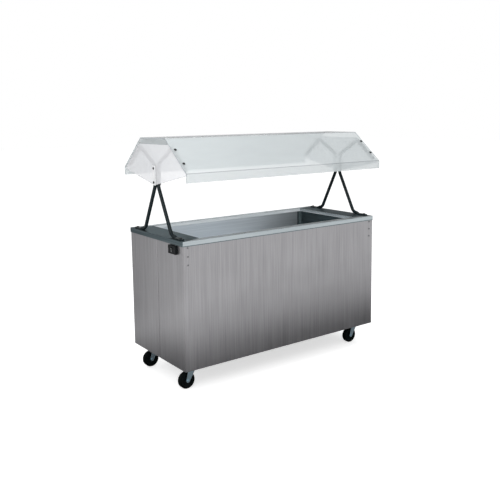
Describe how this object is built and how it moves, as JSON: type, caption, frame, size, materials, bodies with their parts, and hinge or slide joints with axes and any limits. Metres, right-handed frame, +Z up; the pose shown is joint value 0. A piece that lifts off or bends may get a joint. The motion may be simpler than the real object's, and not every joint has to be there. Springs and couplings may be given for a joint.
{
  "type": "mobile salad bar",
  "caption": "Panelled mobile cold food bar with an insulated well, a folded translucent hood on bent black rods, open rear storage and swivel casters.",
  "frame": {"origin": "on the floor under the middle of the cabinet, at the bottom centre of the bounding box to within the switch box's reach", "axes": "+Z up, +X along the bar's length away from the switch box's end, +Y towards the open service side, so the closed customers' side faces -Y"},
  "size_m": [1.5426, 0.77, 1.48],
  "materials": {
    "panel_steel": "satin",
    "stainless": "satin",
    "strip_plastic": "matte",
    "foam": "matte",
    "galvanised": "satin",
    "zinc": "satin",
    "wheel_core": "matte",
    "tread": "matte",
    "black_powder_coat": "satin",
    "black_bolt": "satin",
    "screw_steel": "satin",
    "acrylic_sheet": "gloss",
    "acrylic_clear": "gloss",
    "switch_plastic": "matte",
    "rocker_plastic": "satin",
    "brass": "satin",
    "copper": "satin",
    "lever_steel": "satin",
    "compressor_paint": "satin",
    "fin_aluminium": "satin"
  },
  "bodies": {
    "cabinet": {"front_panel": "panel_steel", "end_panel_left_front": "panel_steel", "end_panel_left_rear": "panel_steel", "end_panel_right_front": "panel_steel", "end_panel_right_rear": "panel_steel", "rear_apron": "panel_steel", "machine_cover": "panel_steel", "countertop": "stainless", "cold_pan": "stainless", "guard_clamps": "stainless", "drain_fitting": "stainless", "drain_pipe": "stainless", "breaker_strip": "strip_plastic", "well_foam": "foam", "well_jacket": "galvanised", "corner_posts": "galvanised", "top_rails": "galvanised", "base_deck": "galvanised", "caster_rails": "galvanised", "machine_bay_wall": "galvanised", "unit_tray": "galvanised", "fan_shroud": "galvanised", "caster_plates": "zinc", "caster_bolts": "zinc", "hood_rod_left_front": "black_powder_coat", "hood_rod_left_rear": "black_powder_coat", "hood_rod_right_front": "black_powder_coat", "hood_rod_right_rear": "black_powder_coat", "hood_bolts": "black_bolt", "rod_bolts": "black_bolt", "panel_screws": "screw_steel", "canopy_sheet": "acrylic_sheet", "end_guard_left": "acrylic_clear", "end_guard_right": "acrylic_clear", "switch_box": "switch_plastic", "drain_valve": "brass", "refrigerant_lines": "copper", "compressor": "compressor_paint", "fan_motor": "compressor_paint", "condenser_coil": "fin_aluminium"},
    "front_left_swivel": {"caster_front_left_fork": "zinc", "caster_front_left_axle": "zinc"},
    "front_left_wheel": {"caster_front_left_wheel_core": "wheel_core", "caster_front_left_tread": "tread"},
    "front_right_swivel": {"caster_front_right_fork": "zinc", "caster_front_right_axle": "zinc"},
    "front_right_wheel": {"caster_front_right_wheel_core": "wheel_core", "caster_front_right_tread": "tread"},
    "rear_left_swivel": {"caster_rear_left_fork": "zinc", "caster_rear_left_axle": "zinc"},
    "rear_left_wheel": {"caster_rear_left_wheel_core": "wheel_core", "caster_rear_left_tread": "tread"},
    "rear_right_swivel": {"caster_rear_right_fork": "zinc", "caster_rear_right_axle": "zinc"},
    "rear_right_wheel": {"caster_rear_right_wheel_core": "wheel_core", "caster_rear_right_tread": "tread"},
    "rocker": {"rocker_switch": "rocker_plastic"},
    "valve_handle": {"valve_lever": "lever_steel"},
    "fan": {"fan_rotor": "fin_aluminium"}
  },
  "joints": [
    {"name": "front_left_caster_swivel", "type": "hinge", "parent": "cabinet", "child": "front_left_swivel", "pos_m": [-0.669, -0.225, 0.128], "axis": [0, 0, 1], "continuous": true},
    {"name": "front_left_wheel_spin", "type": "hinge", "parent": "front_left_swivel", "child": "front_left_wheel", "pos_m": [-0.699, -0.225, 0.051], "axis": [0, 1, 0], "continuous": true},
    {"name": "front_right_caster_swivel", "type": "hinge", "parent": "cabinet", "child": "front_right_swivel", "pos_m": [0.669, -0.225, 0.128], "axis": [0, 0, 1], "continuous": true},
    {"name": "front_right_wheel_spin", "type": "hinge", "parent": "front_right_swivel", "child": "front_right_wheel", "pos_m": [0.639, -0.225, 0.051], "axis": [0, 1, 0], "continuous": true},
    {"name": "rear_left_caster_swivel", "type": "hinge", "parent": "cabinet", "child": "rear_left_swivel", "pos_m": [-0.669, 0.225, 0.128], "axis": [0, 0, 1], "continuous": true},
    {"name": "rear_left_wheel_spin", "type": "hinge", "parent": "rear_left_swivel", "child": "rear_left_wheel", "pos_m": [-0.699, 0.225, 0.051], "axis": [0, 1, 0], "continuous": true},
    {"name": "rear_right_caster_swivel", "type": "hinge", "parent": "cabinet", "child": "rear_right_swivel", "pos_m": [0.669, 0.225, 0.128], "axis": [0, 0, 1], "continuous": true},
    {"name": "rear_right_wheel_spin", "type": "hinge", "parent": "rear_right_swivel", "child": "rear_right_wheel", "pos_m": [0.639, 0.225, 0.051], "axis": [0, 1, 0], "continuous": true},
    {"name": "rocker_tilt", "type": "hinge", "parent": "cabinet", "child": "rocker", "pos_m": [-0.7745, -0.226, 0.847], "axis": [0, 1, 0], "range_deg": [0, 14]},
    {"name": "valve_turn", "type": "hinge", "parent": "cabinet", "child": "valve_handle", "pos_m": [-0.56, 0.25, 0.6155], "axis": [0, 0, 1], "range_deg": [0, 90]},
    {"name": "fan_spin", "type": "hinge", "parent": "cabinet", "child": "fan", "pos_m": [0.566, 0.184, 0.2935], "axis": [0, 1, 0], "continuous": true}
  ]
}
